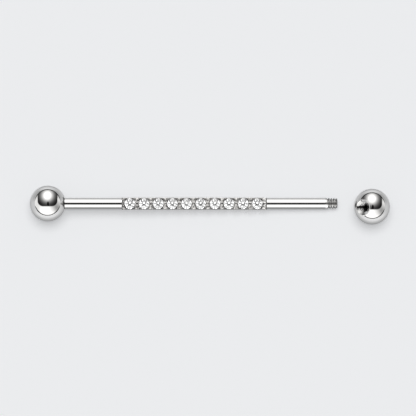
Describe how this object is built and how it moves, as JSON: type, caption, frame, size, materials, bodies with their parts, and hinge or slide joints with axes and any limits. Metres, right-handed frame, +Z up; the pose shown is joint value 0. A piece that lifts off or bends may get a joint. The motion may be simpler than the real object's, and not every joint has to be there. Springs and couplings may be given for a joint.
{
  "type": "industrial barbell",
  "caption": "Straight body jewellery barbell with a row of prong-set clear stones, a ball screwed on one end and the other ball taken off and lying beside the threaded tip.",
  "frame": {"origin": "middle of the lying group's box, on the surface that it lies on", "axes": "+X along the bar from the fixed ball to the loose ball, +Z up, the stones facing up and 12 degrees towards -Y"},
  "size_m": [0.05, 0.0058, 0.005],
  "materials": {
    "steel_bar": "polished",
    "steel_ball": "polished",
    "clear_stone": "polished"
  },
  "bodies": {
    "root": {"bar": "steel_bar", "fixed_ball": "steel_ball", "loose_ball": "steel_ball", "stone_01": "clear_stone", "stone_02": "clear_stone", "stone_03": "clear_stone", "stone_04": "clear_stone", "stone_05": "clear_stone", "stone_06": "clear_stone", "stone_07": "clear_stone", "stone_08": "clear_stone", "stone_09": "clear_stone", "stone_10": "clear_stone"}
  },
  "joints": []
}
